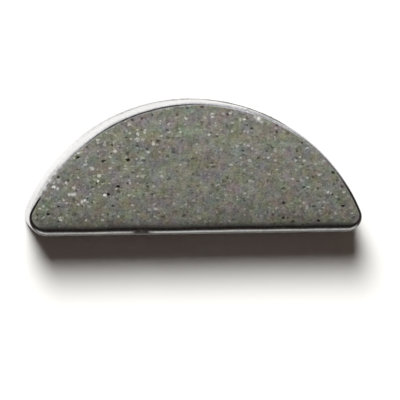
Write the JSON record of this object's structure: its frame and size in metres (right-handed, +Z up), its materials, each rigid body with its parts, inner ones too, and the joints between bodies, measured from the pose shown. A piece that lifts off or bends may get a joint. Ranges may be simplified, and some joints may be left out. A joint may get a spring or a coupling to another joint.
{
  "type": "woodruff key",
  "caption": "Half-moon steel shaft key with a flat side, rounded edges and rounded tips. Its arc seats in a shaft's curved pocket and its proud part drives a hub's keyway.",
  "frame": {"origin": "on the lower side face, at the middle of the key's length and height", "axes": "+X along the flat, +Y from the flat towards the crown of the arc, +Z up across the key's width"},
  "size_m": [0.0094, 0.0037, 0.003],
  "materials": {
    "steel": "bare steel, tumbled to a fine speckled satin with bright worn edges"
  },
  "bodies": {
    "root": {"woodruff_key": "steel"}
  },
  "joints": []
}
